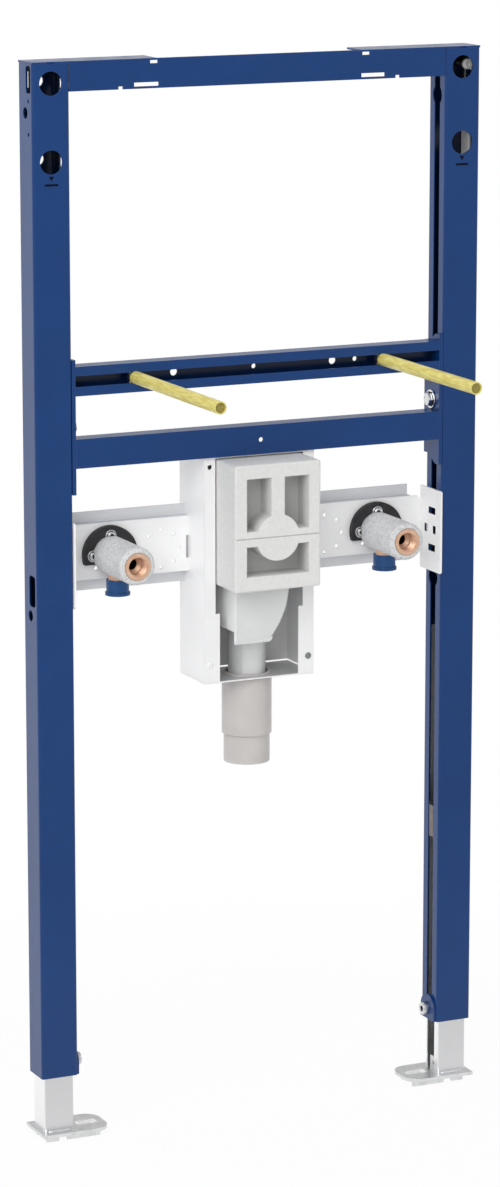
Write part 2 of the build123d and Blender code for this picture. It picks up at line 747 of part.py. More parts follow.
# Outlet pipe, hung by its rim on the floor of the box, with a full-size free end below its sleeve
with BuildPart() as outlet_pipe:
    with BuildSketch(Plane.XY.offset(box_bottom)):
        with Locations((0, outlet_axis_y)):
            Circle(pipe_rim_dia / 2)
    extrude(amount=pipe_rim_height)
    with BuildSketch(Plane.XY.offset(box_bottom)):
        with Locations((0, outlet_axis_y)):
            Circle(pipe_dia / 2 - pipe_relief)
    extrude(amount=-pipe_length)
    with BuildSketch(Plane.XY.offset(box_bottom - pipe_length)):
        with Locations((0, outlet_axis_y)):
            Circle(pipe_dia / 2)
    extrude(amount=pipe_end_length)
    with Locations((0, outlet_axis_y, box_bottom + pipe_rim_height)):
        Hole(pipe_dia / 2 - pipe_wall, depth=pipe_length + pipe_rim_height)
save(outlet_pipe, "outlet_pipe")

# Trap cup: body behind a shield with one round side, over a neck that dips into the pipe
cover_top = box_top - cover_drop
cover_bottom = cover_top - cover_height
with BuildPart() as trap_cup:
    cup_bottom = cover_bottom - cup_drop
    with BuildSketch(facing_front(0, -cup_front, cover_bottom)):
        with BuildLine():
            shield_side = ThreePointArc(
                (cup_right, 0), (shield_bulge, -shield_bulge_drop), (shield_tip, -shield_tip_drop)
            )
            Polyline(shield_side @ 1, (-cup_left, -shield_drop), (-cup_left, 0), shield_side @ 0)
        make_face()
    extrude(amount=-cup_depth)
    shield_edges = trap_cup.faces().sort_by(Axis.Y)[0].edges()
    fillet(shield_edges.filter_by(GeomType.CIRCLE), radius=cup_round)
    with BuildSketch(Plane.XY.offset(cup_bottom)):
        with Locations((0, shield_sheet + cup_depth / 2 - cup_front)):
            Rectangle(4 * cup_left, cup_depth)
    extrude(amount=-shield_drop, mode=Mode.SUBTRACT)
    with BuildSketch(Plane.XY.offset(cup_bottom)):
        with Locations((0, neck_axis_y)):
            Circle(neck_dia / 2)
    extrude(amount=box_bottom - neck_in_pipe - cup_bottom)
    box_back_y = box_depth - box_front - box_sheet
    with BuildSketch(facing_front(0, box_back_y, cover_bottom - lug_drop - lug_height / 2)):
        Rectangle(lug_width, lug_height)
    extrude(amount=box_back_y + cup_front - cup_depth)
save(trap_cup, "trap_cup")

# Trap cover: moulded block with pockets round a cross and a disc
with BuildPart() as trap_cover:
    cover_depth = cover_front - cover_back
    disc_z = cover_top - disc_drop
    with BuildSketch(facing_front(0, -cover_back, (cover_top + cover_bottom) / 2)):
        RectangleRounded(cover_width, cover_height, cover_edge)
    extrude(amount=cover_depth)
    fillet(trap_cover.faces().sort_by(Axis.Y)[0].edges(), radius=cover_round)
    with BuildSketch(facing_front(0, -cover_front, cover_top - seam_drop)):
        Rectangle(2 * cover_width, seam_height)
    extrude(amount=-seam_depth, mode=Mode.SUBTRACT)
    window_top = cover_top - window_top_drop
    window_bottom = cover_bottom + window_bottom_rise
    with BuildSketch(facing_front(0, -cover_front, disc_z)):
        with Locations((0, (window_top + window_bottom) / 2 - disc_z)):
            Rectangle(window_width, window_top - window_bottom)
        Rectangle(window_width, bar_cross_width, mode=Mode.SUBTRACT)
        with Locations((0, (window_top - disc_z) / 2)):
            Rectangle(bar_centre_width, window_top - disc_z, mode=Mode.SUBTRACT)
        Circle(disc_dia / 2, mode=Mode.SUBTRACT)
    extrude(amount=-cover_pocket, mode=Mode.SUBTRACT)
save(trap_cover, "trap_cover")
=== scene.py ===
"""Looks of the washbasin installation frame: finishes, small fittings, light and camera.

Metres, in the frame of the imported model: X to the right, Y towards the wall, Z up from the floor.
"""
import json
import math
import bmesh
import bpy
from mathutils import Matrix, Vector


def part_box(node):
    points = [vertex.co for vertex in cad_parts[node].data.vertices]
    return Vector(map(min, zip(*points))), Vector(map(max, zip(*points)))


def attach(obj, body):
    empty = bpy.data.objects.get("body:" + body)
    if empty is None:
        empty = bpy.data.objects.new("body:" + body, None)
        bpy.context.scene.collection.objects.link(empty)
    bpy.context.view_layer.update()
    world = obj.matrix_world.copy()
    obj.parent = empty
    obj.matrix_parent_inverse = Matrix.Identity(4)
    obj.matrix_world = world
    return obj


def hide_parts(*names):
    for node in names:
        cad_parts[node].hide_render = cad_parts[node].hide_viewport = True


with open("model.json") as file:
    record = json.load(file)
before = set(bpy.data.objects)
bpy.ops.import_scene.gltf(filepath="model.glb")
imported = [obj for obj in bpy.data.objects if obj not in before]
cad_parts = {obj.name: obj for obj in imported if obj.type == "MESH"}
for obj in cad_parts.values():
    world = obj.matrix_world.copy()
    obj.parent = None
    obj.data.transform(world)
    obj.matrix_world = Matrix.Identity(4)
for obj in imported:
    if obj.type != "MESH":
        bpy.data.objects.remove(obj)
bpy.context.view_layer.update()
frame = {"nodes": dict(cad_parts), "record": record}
nodes = frame["nodes"]
slot_of = {row["node"]: row["material_slot"] for row in frame["record"]["subparts"]}

MM = 0.001
SIDES = ("left", "right")
INWARDS = {"left": Vector((1, 0, 0)), "right": Vector((-1, 0, 0))}
TO_ROOM = Vector((0, -1, 0))
UP = Vector((0, 0, 1))
ROUND_STEPS = 64
FINE_STEPS = 96
SCREW_STEPS = 48
ROD_STEPS = 32
SHARP_ANGLE = math.radians(32)
WELD = 1e-7

# Camera, as it stood for the photograph
CAMERA_PLACE = (-1.8219, -3.9015, 1.4749)
CAMERA_DOWN = math.radians(12.0)
CAMERA_TURN = math.radians(-24.98)
CAMERA_LENS = 128.3

# Studio: each light by its place, size and power, and the levels that reflections see
LIGHTS = {
    "key_light": ((-2.55, -2.65, 2.8), 3.2, 104.0),
    "fill_light": ((3.0, -2.3, 2.2), 2.6, 16.0),
    "top_light": ((-0.4, 0.6, 3.2), 2.4, 16.0),
}
LIGHT_TARGET = (0.0, 0.0, 0.6)
AMBIENT = 0.45
ROOM_DIM = 0.55
ROOM_SIDE, WALL_SIDE = -0.9, 0.3
CEILING_DIM = 3.0
CEILING_START, CEILING_END = 0.05, 0.2
FLOOR_RADIUS = 40.0
FLOOR_WHITE = 0.94
FADE_START, FADE_END = 0.4, 0.9


# Finishes

def ramp(tree, source, low, high, start, end):
    """Stretch a value from start..end to low..high."""
    node = tree.nodes.new("ShaderNodeMapRange")
    for socket, value in zip(("From Min", "From Max", "To Min", "To Max"), (start, end, low, high)):
        node.inputs[socket].default_value = value
    tree.links.new(source, node.inputs["Value"])
    return node.outputs["Result"]


def arithmetic(tree, operation, first, second=None):
    """One step of arithmetic on an output and another output or a number."""
    node = tree.nodes.new("ShaderNodeMath")
    node.operation = operation
    tree.links.new(first, node.inputs[0])
    if isinstance(second, float):
        node.inputs[1].default_value = second
    elif second is not None:
        tree.links.new(second, node.inputs[1])
    return node.outputs[0]


class Finish:
    """A principled material, with short names for the textures that its surface needs."""

    def __init__(self, name, **sockets):
        self.material = bpy.data.materials.new(name)
        self.material.use_nodes = True
        self.tree = self.material.node_tree
        self.shader = self.tree.nodes["Principled BSDF"]
        for socket, value in sockets.items():
            self.shader.inputs[socket.replace("_", " ")].default_value = value
        self.place = self.add("ShaderNodeTexCoord").outputs["Object"]

    def add(self, kind, **settings):
        """A new node with its settings."""
        node = self.tree.nodes.new(kind)
        for key, value in settings.items():
            setattr(node, key, value)
        return node

    def join(self, source, target):
        self.tree.links.new(source, target)

    def set(self, socket, source):
        """Drive one of the shader's sockets."""
        self.join(source, self.shader.inputs[socket])

    def noise(self, scale, detail=3.0, stretch=None):
        """Cloudy noise between 0 and 1, with scale in cycles for each metre."""
        node = self.add("ShaderNodeTexNoise")
        node.inputs["Scale"].default_value = scale
        node.inputs["Detail"].default_value = detail
        source = self.place
        if stretch:
            mapping = self.add("ShaderNodeMapping")
            mapping.inputs["Scale"].default_value = stretch
            self.join(source, mapping.inputs["Vector"])
            source = mapping.outputs["Vector"]
        self.join(source, node.inputs["Vector"])
        return node.outputs["Fac"]

    def cells(self, scale, feature="F1", output="Color"):
        """Voronoi cells, with scale in cells for each metre."""
        node = self.add("ShaderNodeTexVoronoi", feature=feature)
        node.inputs["Scale"].default_value = scale
        self.join(self.place, node.inputs["Vector"])
        return node.outputs[output]

    def spread(self, source, low, high, start=0.3, end=0.7):
        """Stretch a value, by default the middle part of a noise, to low..high."""
        return ramp(self.tree, source, low, high, start, end)

    def blend(self, factor, first, second):
        """Mix two colours, each a fixed colour or an output."""
        node = self.add("ShaderNodeMix", data_type="RGBA")
        self.join(factor, node.inputs["Factor"])
        for socket, value in ((node.inputs[6], first), (node.inputs[7], second)):
            if isinstance(value, tuple):
                socket.default_value = (*value, 1.0)
            else:
                self.join(value, socket)
        return node.outputs[2]

    def soft_edges(self, radius):
        """A normal that rounds the edges over a radius."""
        node = self.add("ShaderNodeBevel", samples=6)
        node.inputs["Radius"].default_value = radius
        return node.outputs["Normal"]

    def edge_mask(self, radius, softness):
        """1 on edges and 0 on flat faces, from how far the rounded normal leans."""
        dot = self.add("ShaderNodeVectorMath", operation="DOT_PRODUCT")
        self.join(self.soft_edges(radius), dot.inputs[0])
        self.join(self.add("ShaderNodeNewGeometry").outputs["Normal"], dot.inputs[1])
        return self.spread(dot.outputs["Value"], 1.0, 0.0, 1.0 - softness, 1.0)

    def within(self, axis, middle, half, soft, mirrored=False):
        """1 where a coordinate is nearer to a middle than half, fading to 0 over a soft margin."""
        value = self.add("ShaderNodeSeparateXYZ")
        self.join(self.place, value.inputs[0])
        source = value.outputs[axis]
        if mirrored:
            source = self.sum("ABSOLUTE", source)
        offset = self.sum("ABSOLUTE", self.sum("SUBTRACT", source, middle))
        return self.spread(offset, 1.0, 0.0, half - soft, half)

    def zones(self, colour, shades):
        """A colour with other colours in some zones, each bounded along some axes by the values of within."""
        for spans, shade in shades:
            zone = None
            for axis, stretch in spans.items():
                inside = self.within(axis, *stretch)
                zone = self.sum("MULTIPLY", zone, inside) if zone else inside
            colour = self.blend(zone, colour, shade)
        return colour

    def sum(self, operation, first, second=None):
        """One step of arithmetic in this material."""
        return arithmetic(self.tree, operation, first, second)

    def bump(self, height, depth, strength=1.0, normal=None):
        """Raise the surface by a height map, over a base normal, and use it."""
        node = self.add("ShaderNodeBump")
        node.inputs["Distance"].default_value = depth
        node.inputs["Strength"].default_value = strength
        self.join(height, node.inputs["Height"])
        if normal:
            self.join(normal, node.inputs["Normal"])
        self.set("Normal", node.outputs["Normal"])


def blue_paint(name, shades=()):
    """Satin powder coat: fine orange peel, paler over the folded edges as wear and as a painted highlight,
    and darker inside a hollow profile as painted shade.
    """
    coat = Finish(name, Metallic=0.0, Specular_IOR_Level=0.42)
    body = coat.blend(coat.spread(coat.noise(14, 4), 0, 1), (0.0014, 0.038, 0.166), (0.0024, 0.0435, 0.185))
    # Paler folded edges: partly edge wear, partly a painted highlight on the rounded folds
    edges = coat.edge_mask(1.1 * MM, 0.35)
    colour = coat.blend(coat.spread(edges, 0.0, 0.22, 0.0, 1.0), body, (0.09, 0.14, 0.32))
    coat.set("Base Color", coat.zones(colour, shades))
    coat.set("Roughness", coat.spread(coat.noise(60, 2), 0.20, 0.27))
    coat.bump(coat.noise(620, 2), 0.04 * MM, 0.35, coat.soft_edges(0.8 * MM))
    return coat.material


def galvanised(name, low, high, metallic=1.0, rough=(0.32, 0.42), streaks=(1.0, 1.0, 0.3), grain=170,
               relief=0.25, shades=()):
    """Hot-dip coating: faint spangle, streaks along the sheet and softened edges."""
    sheet = Finish(name, Metallic=metallic)
    spangle = sheet.spread(sheet.cells(grain), 0.0, 1.0, 0.1, 0.9)
    drawn = sheet.spread(sheet.noise(120, 4, streaks), 0.0, 1.0)
    mixed = sheet.sum("MULTIPLY", spangle, drawn)
    sheet.set("Base Color", sheet.zones(sheet.blend(mixed, high, low), shades))
    sheet.set("Roughness", sheet.spread(spangle, *rough, 0.0, 1.0))
    sheet.bump(sheet.noise(260, 3, streaks), 0.04 * MM, relief, sheet.soft_edges(0.7 * MM))
    return sheet.material


def zinc_steel():
    """Bright zinc on turned and rolled steel."""
    zinc = Finish("zinc_steel", Metallic=1.0)
    tone = zinc.spread(zinc.noise(90, 4), 0, 1)
    zinc.set("Base Color", zinc.blend(tone, (0.62, 0.63, 0.64), (0.82, 0.825, 0.83)))
    zinc.set("Roughness", zinc.spread(zinc.noise(300, 2), 0.18, 0.32))
    zinc.bump(zinc.noise(900, 2), 0.03 * MM, 0.5, zinc.soft_edges(0.3 * MM))
    return zinc.material


def yellow_plastic(name, low, high):
    """Extruded tube, a little see-through, with drawing lines along its length."""
    tube = Finish(name, Metallic=0.0, Specular_IOR_Level=0.45, Subsurface_Weight=0.25)
    tube.shader.inputs["Subsurface Radius"].default_value = (3 * MM, 3 * MM, 0.8 * MM)
    grain = tube.spread(tube.noise(520, 4, (1.0, 0.12, 1.0)), 0, 1, 0.33, 0.67)
    tube.set("Base Color", tube.blend(grain, low, high))
    tube.set("Roughness", tube.spread(tube.noise(120, 2), 0.30, 0.42))
    tube.bump(tube.noise(700, 2, (1.0, 0.04, 1.0)), 0.06 * MM, 0.5, tube.soft_edges(0.5 * MM))
    return tube.material


def black_rubber():
    """Matt moulded rubber with a fine grain."""
    pad = Finish("black_rubber", Metallic=0.0, Specular_IOR_Level=0.3)
    tone = pad.spread(pad.noise(80, 4), 0, 1)
    pad.set("Base Color", pad.blend(tone, (0.022, 0.022, 0.024), (0.040, 0.040, 0.042)))
    pad.set("Roughness", pad.spread(pad.noise(200, 2), 0.55, 0.72))
    pad.bump(pad.noise(1500, 2), 0.05 * MM, 0.6, pad.soft_edges(0.6 * MM))
    return pad.material


def bronze():
    """Turned bronze with cutting rings."""
    cast = Finish("bronze", Metallic=0.55)
    tone = cast.spread(cast.noise(160, 4), 0, 1)
    cast.set("Base Color", cast.blend(tone, (0.78, 0.47, 0.31), (0.88, 0.60, 0.43)))
    cast.set("Roughness", cast.spread(cast.noise(260, 2), 0.34, 0.48))
    cast.bump(cast.noise(1400, 2, (0.2, 1.0, 0.2)), 0.03 * MM, 0.6, cast.soft_edges(0.4 * MM))
    return cast.material


def foam(name, low, high, bead, depth, speck=None, shades=()):
    """Moulded bead foam: pale cells, soft grooves, a few dark beads and painted shade at the pocket bottoms
    where asked.
    """
    beads = Finish(name, Metallic=0.0, Specular_IOR_Level=0.25)
    colour = beads.blend(beads.spread(beads.cells(bead), 0.0, 1.0, 0.15, 0.85), low, high)
    if speck:
        dark = beads.spread(beads.cells(1.6 * bead), 0.9, 0.0, 0.14, 0.26)
        colour = beads.blend(dark, colour, speck)
    beads.set("Base Color", beads.zones(colour, shades))
    beads.set("Roughness", beads.spread(beads.noise(90, 3), 0.55, 0.75))
    grooves = beads.spread(beads.cells(bead, "DISTANCE_TO_EDGE", "Distance"), 0.0, 1.0, 0.0, 0.16)
    beads.bump(grooves, depth, 0.5, beads.soft_edges(1.4 * MM))
    return beads.material


def moulded(name, low, high, rough=(0.32, 0.45), grain=800, shades=()):
    """Injection-moulded plastic with a light grain."""
    part = Finish(name, Metallic=0.0, Specular_IOR_Level=0.4)
    part.set("Base Color", part.zones(part.blend(part.spread(part.noise(30, 4), 0, 1), low, high), shades))
    part.set("Roughness", part.spread(part.noise(140, 2), *rough))
    part.bump(part.noise(grain, 2), 0.04 * MM, 0.5, part.soft_edges(0.6 * MM))
    return part.material


def dull(name, low, high):
    """Dull dark surface, for prints, and as painted shade in sockets, bores, gaps and notches."""
    coat = Finish(name, Metallic=0.0, Specular_IOR_Level=0.1)
    coat.set("Base Color", coat.blend(coat.spread(coat.noise(400, 3), 0, 1), low, high))
    coat.set("Roughness", coat.spread(coat.noise(300, 2), 0.6, 0.8))
    return coat.material


def span(low, high, inset, soft, mirrored=False):
    """Middle, half width and soft margin of a stretch between two coordinates, drawn in by an inset."""
    return (low + high) / 2, (high - low) / 2 - inset, soft, mirrored


def inner_zone(node, axes, inset, soft):
    """Spans of a node's inside along some axes, the same for both sides of the frame."""
    low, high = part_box(node)
    spans = {}
    for axis in axes:
        index = "XYZ".index(axis)
        spans[axis] = span(low[index], high[index], inset, soft, axis == "X")
    return spans


# Zones of painted shade and painted light, in deep hollows and on bright faces

SKIN = 0.5 * MM
FACE = 1.0 * MM
FACE_SOFT = 0.3 * MM
# Colours of painted shade inside profiles and cuts, and of painted light on the sides of the legs
SHADE_BLUE = (0.001, 0.010, 0.042)
RAIL_SHADE_BLUE = (0.001, 0.017, 0.078)
CUT_SHADE = (0.030, 0.030, 0.034)
LEG_SIDE_LIGHT = (0.975, 0.975, 0.985)
UPPER_ANCHOR_Z = 1.0987
SHIELD_SHEET = 4.0 * MM
# Painted shade inside the hollow profiles of the uprights and the fixing rail
upright_shade = [(inner_zone("right_upright", "XY", SKIN, SKIN), SHADE_BLUE)]
rail_shade = [(inner_zone("fixing_rail", "YZ", SKIN, SKIN), RAIL_SHADE_BLUE)]
# Painted shade on the floor plate inside the trap box
floor_low, floor_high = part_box("trap_box_floor")
left_margin, right_margin = 10 * MM, 1 * MM
floor_shade = [({
    "X": span(floor_low.x + left_margin, floor_high.x - right_margin, 0.0, SKIN),
    "Y": span(floor_low.y, floor_high.y, SKIN, SKIN / 2),
}, (0.51, 0.515, 0.52))]
cover_low, cover_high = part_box("trap_cover")
cover_rim, rim_soft = 8 * MM, 2 * MM
pocket_depth, pocket_front, pocket_fade = 60 * MM, 3 * MM, 14 * MM
# Painted shade at the bottoms of the pockets of the trap cover
cover_pocket_shade = [({
    "X": (0.0, cover_high.x - cover_rim, rim_soft),
    "Y": span(cover_low.y, cover_low.y + pocket_depth, pocket_front, pocket_fade),
    "Z": span(cover_low.z, cover_high.z, cover_rim, rim_soft),
}, (0.53, 0.53, 0.52))]
# Painted shade on the set-back lips of a tap plate, and deeper painted shade on the band of their folds
tap_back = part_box("right_tap_plate")[1].y
fold, web = 2.5 * MM, 11.5 * MM
tap_fold_shade = [
    ({"Y": span(tap_back - fold, tap_back + fold, 0.0, SKIN)}, (0.80, 0.81, 0.825)),
    ({"Y": span(tap_back - web, tap_back - fold, 0.0, SKIN)}, (0.55, 0.565, 0.59)),
]
tap_low, tap_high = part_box("right_tap_insulation")
TAP_Z = (tap_low.z + tap_high.z) / 2

# Cuts in the flange of a tap plate in millimetres: Y, rise over the tap, length and height
FLANGE_CUTS = (
    (0.0, 20.0, 15.0, 7.0),
    (0.0, -20.0, 15.0, 7.0),
    (-5.5, 0.0, 6.0, 8.5),
    (13.5, 0.0, 6.0, 8.5),
)
CUT_MARGIN, CUT_SOFT = 0.12, 0.05
# Each cut is painted dark, as the shade inside it
for cut_y, cut_rise, cut_length, cut_height in FLANGE_CUTS:
    tap_fold_shade.append(({
        "Y": (cut_y * MM, (cut_length / 2 + CUT_MARGIN) * MM, CUT_SOFT * MM),
        "Z": (TAP_Z + cut_rise * MM, (cut_height / 2 + CUT_MARGIN) * MM, CUT_SOFT * MM),
    }, CUT_SHADE))
# Painted light on the left face of the trap cup
cup_side_light = [({"X": (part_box("trap_cup")[0].x, FACE, SKIN)}, (0.92, 0.925, 0.925))]
box_low, box_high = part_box("trap_box")
# Painted light on the side faces and on the front flange of the trap box
box_light = [
    ({"X": (box_high.x, FACE, FACE_SOFT, True)}, (0.99, 0.99, 0.995)),
    ({"Y": (box_low.y, FACE, FACE_SOFT)}, (0.955, 0.955, 0.96)),
]
# Painted light on the side faces of the legs
leg_light = [({"X": (corner.x, FACE, FACE_SOFT, True)}, LEG_SIDE_LIGHT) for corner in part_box("right_leg")]
# Painted light on the walls of the slots in the foot plates
FOOT_SLOT_X, FOOT_SLOT_LENGTH, FOOT_SLOT_WIDTH = 0.194, 24.0, 12.0
foot_slot_light = [({
    "X": (FOOT_SLOT_X, (FOOT_SLOT_LENGTH / 2 + CUT_MARGIN) * MM, CUT_SOFT * MM, True),
    "Y": (0.0, (FOOT_SLOT_WIDTH / 2 + CUT_MARGIN) * MM, CUT_SOFT * MM),
}, (0.99, 0.99, 0.99))]
# Painted shade on the anchor strip round the upper anchor screw
strip_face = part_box("right_anchor_strip")[0].x
screw_shade = [({
    "X": (strip_face, 1.2 * MM, 0.2 * MM, True),
    "Z": (UPPER_ANCHOR_Z, 16 * MM, 2 * MM),
}, CUT_SHADE)]

# One finish for each slot of the record, then the finishes of single pieces
finishes = {
    "blue_paint": blue_paint("blue_powder_coat"),
    "zinc_steel": zinc_steel(),
    "galvanised": galvanised("galvanised_sheet", (0.87, 0.875, 0.885), (0.94, 0.94, 0.95), 0.4),
    "yellow_plastic": yellow_plastic("yellow_sleeve", (0.64, 0.53, 0.11), (0.86, 0.78, 0.27)),
    "black_rubber": black_rubber(),
    "bronze": bronze(),
    "white_foam": foam("white_foam", (0.61, 0.615, 0.625), (0.74, 0.745, 0.75), 520, 0.15 * MM,
                       (0.42, 0.43, 0.45)),
    "blue_plastic": moulded("blue_plastic", (0.007, 0.055, 0.18), (0.010, 0.066, 0.21)),
    "white_plastic": foam("white_block", (0.74, 0.74, 0.73), (0.78, 0.78, 0.77), 330, 0.12 * MM,
                          shades=cover_pocket_shade),
    "grey_plastic": moulded("grey_plastic", (0.68, 0.69, 0.69), (0.73, 0.74, 0.74), shades=cup_side_light),
    "pipe_grey": moulded("pipe_grey", (0.565, 0.535, 0.52), (0.61, 0.58, 0.565), (0.28, 0.38)),
}
neck_plastic_shaded = moulded("grey_neck_shaded", (0.58, 0.585, 0.585), (0.63, 0.635, 0.635))
mark_ink = dull("mark_ink", (0.001, 0.002, 0.008), (0.003, 0.005, 0.016))
socket_shade = dull("socket_shade", (0.010, 0.010, 0.011), (0.022, 0.022, 0.024))
bore_shade = dull("bore_shade", (0.020, 0.012, 0.008), (0.035, 0.022, 0.015))
box_sheet = galvanised("galvanised_box", (0.885, 0.89, 0.895), (0.93, 0.93, 0.935), 0.12, shades=box_light)
floor_sheet = galvanised("galvanised_floor", (0.90, 0.905, 0.91), (0.945, 0.945, 0.95), 0.12,
                         shades=floor_shade)
tap_sheet = galvanised("galvanised_tap", (0.95, 0.955, 0.96), (0.99, 0.99, 0.99), 0.05, shades=tap_fold_shade)
# Mid-grey sheet for the shade seen through the slits of the tap plates
slit_shade_sheet = galvanised("galvanised_slit_shade", (0.40, 0.405, 0.41), (0.47, 0.475, 0.48), 0.05)
leg_sheet = galvanised("galvanised_leg", (0.735, 0.74, 0.75), (0.765, 0.765, 0.775), 1.0, (0.30, 0.33),
                       (1.0, 1.0, 0.02), 260, 0.08, leg_light)
foot_sheet = galvanised("galvanised_foot", (0.68, 0.685, 0.69), (0.86, 0.865, 0.87), 1.0, (0.34, 0.46),
                        shades=foot_slot_light)
strip_sheet = galvanised("galvanised_strip", (0.80, 0.79, 0.78), (0.93, 0.92, 0.91), 0.2, shades=screw_shade)
# A darker copy of the galvanised finish, as painted shade inside the upright
anchor_zinc_shaded = galvanised("galvanised_anchor_shaded", (0.40, 0.395, 0.39), (0.50, 0.495, 0.49), 0.2)
# The catch's colour holds painted shade from the slot as well as its own tone
catch_sheet = galvanised("galvanised_catch", (0.125, 0.105, 0.098), (0.165, 0.14, 0.13), 0.1)
# The right rivet gets a darker copy of the zinc as painted shade; the left one takes the flange's finish
rivet_zinc_shaded = galvanised("galvanised_rivet_shaded", (0.21, 0.215, 0.22), (0.27, 0.275, 0.28), 0.2)
rivet_finish = {"left": box_sheet, "right": rivet_zinc_shaded}
sleeve_end_shade = yellow_plastic("yellow_sleeve_end_shaded", (0.24, 0.19, 0.035), (0.36, 0.30, 0.07))
upright_coat = blue_paint("blue_upright_coat", upright_shade)
own_finish = {
    "fixing_rail": blue_paint("blue_rail_coat", rail_shade),
    "trap_box": box_sheet, "trap_box_lid": box_sheet, "trap_box_floor": floor_sheet,
}
for side in SIDES:
    own_finish[f"{side}_upright"] = upright_coat
    own_finish[f"{side}_tap_plate"] = tap_sheet
    own_finish[f"{side}_leg"] = leg_sheet
    own_finish[f"{side}_foot_plate"] = foot_sheet
    own_finish[f"{side}_anchor_strip"] = strip_sheet

for name, node in nodes.items():
    node.data.materials.clear()
    node.data.materials.append(own_finish.get(name, finishes[slot_of[name]]))


# Small fittings

def along(origin, direction):
    """A matrix that stands local Z on a direction at a point."""
    turn = Vector(direction).to_track_quat("Z", "Y").to_matrix().to_4x4()
    return Matrix.Translation(origin) @ turn


def along_upright(origin, direction):
    """A matrix with local Z on a direction and local Y upwards."""
    forward = Vector(direction).normalized()
    across = UP.cross(forward)
    turn = Matrix((across, UP, forward)).transposed().to_4x4()
    return Matrix.Translation(origin) @ turn


def ring(bm, matrix, radius, height, steps=ROUND_STEPS):
    """Points round an axis at one height: a fixed radius, a function of angle and height, or one point."""
    if radius == 0:
        return [bm.verts.new(matrix @ Vector((0, 0, height)))]
    points = []
    for step in range(steps):
        angle = 2 * math.pi * step / steps
        reach = radius(angle, height) if callable(radius) else radius
        spot = Vector((reach * math.cos(angle), reach * math.sin(angle), height))
        points.append(bm.verts.new(matrix @ spot))
    return points


def skin(bm, rings):
    """Faces between each ring of points and the next."""
    for lower, upper in zip(rings, rings[1:]):
        steps = max(len(lower), len(upper))
        for step in range(steps):
            after = (step + 1) % steps
            corners = [lower[step % len(lower)], lower[after % len(lower)],
                       upper[after % len(upper)], upper[step % len(upper)]]
            bm.faces.new(list(dict.fromkeys(corners)))


def lathe(bm, matrix, profile, steps=ROUND_STEPS):
    """A solid round an axis from radius and height pairs in millimetres."""
    rings = []
    for radius, height in profile:
        if callable(radius):
            reach = scaled(radius)
        else:
            reach = radius * MM
        rings.append(ring(bm, matrix, reach, height * MM, steps))
    skin(bm, rings)


def scaled(shape):
    """A radius function in metres from one in millimetres."""
    return lambda angle, height: MM * shape(angle, height / MM)


def plate(bm, outline, front_y, back_y):
    """A flat piece between two depths, from its outline in X and Z."""
    front = [bm.verts.new((x, front_y, z)) for x, z in outline]
    back = [bm.verts.new((x, back_y, z)) for x, z in outline]
    bm.faces.new(front)
    skin(bm, [front, back])
    bm.faces.new(back)


def block(bm, low, high):
    """A box between two corners."""
    outline = [(low[0], low[1]), (high[0], low[1]), (high[0], high[1]), (low[0], high[1])]
    under = [bm.verts.new((x, y, low[2])) for x, y in outline]
    over = [bm.verts.new((x, y, high[2])) for x, y in outline]
    bm.faces.new(under)
    skin(bm, [under, over])
    bm.faces.new(over)


def hexagon(flats, top=None, crown=0.0):
    """Radius of a hexagon over its flats, with a crown cone that ends at a top height."""
    sixth = math.pi / 3
    crown_slope = 1.6

    def reach(angle, height):
        flat = flats / 2 / math.cos(angle % sixth - sixth / 2)
        if top is None:
            return flat
        return min(flat, crown + (top - height) * crown_slope)

    return reach


def oblong(width, depth, corner):
    """Radius of a rounded rectangle, width along local X."""

    def reach(angle, height):
        across, up = abs(math.cos(angle)), abs(math.sin(angle))
        power = 2 + max(width, depth) / corner
        return ((across * 2 / width) ** power + (up * 2 / depth) ** power) ** (-1 / power)

    return reach


def thread(root, crest, pitch):
    """Radius of a screw thread."""

    def reach(angle, height):
        share = (height / pitch - angle / (2 * math.pi)) % 1.0
        rise = min(1.0, max(0.0, 1.35 * abs(2 * share - 1) - 0.15))
        return root + (crest - root) * rise

    return reach


def steps_between(start, end, gap):
    """Heights from start to end, no further apart than a gap."""
    count = math.ceil(abs(end - start) / gap)
    return [start + (end - start) * step / count for step in range(count + 1)]


def piece(bm, name, body, slot, material=None, replaced=()):
    """Turn a bmesh into a piece of the model, smooth except on its sharp edges."""
    bmesh.ops.remove_doubles(bm, verts=bm.verts, dist=WELD)
    bmesh.ops.recalc_face_normals(bm, faces=bm.faces)
    for face in bm.faces:
        face.smooth = True
    for edge in bm.edges:
        if len(edge.link_faces) == 2 and edge.calc_face_angle() > SHARP_ANGLE:
            edge.smooth = False
    mesh = bpy.data.meshes.new(name)
    bm.to_mesh(mesh)
    bm.free()
    mesh.materials.append(material or finishes[slot])
    obj = bpy.data.objects.new(name, mesh)
    bpy.context.scene.collection.objects.link(obj)
    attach(obj, body)
    if replaced:
        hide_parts(*replaced)


def metre_mark(side):
    """Pointer and line on the front of an upright, one metre over the floor."""
    low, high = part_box(f"{side}_upright")
    middle = (low.x + high.x) / 2
    ink = 0.06 * MM
    face_y = low.y - ink
    line_z, line_half, line_height = 0.998, 7.3 * MM, 2.2 * MM
    tip_z, tip_half, tip_height = 1.0018, 2.7 * MM, 4.8 * MM
    line_low, line_high = line_z - line_height / 2, line_z + line_height / 2
    shapes = [
        [(-line_half, line_low), (line_half, line_low), (line_half, line_high), (-line_half, line_high)],
        [(0, tip_z), (tip_half, tip_z + tip_height), (-tip_half, tip_z + tip_height)],
    ]
    bm = bmesh.new()
    for shape in shapes:
        plate(bm, [(middle + x, z) for x, z in shape], face_y, low.y)
    piece(bm, f"{side}_metre_mark", "frame", "blue_paint", mark_ink)


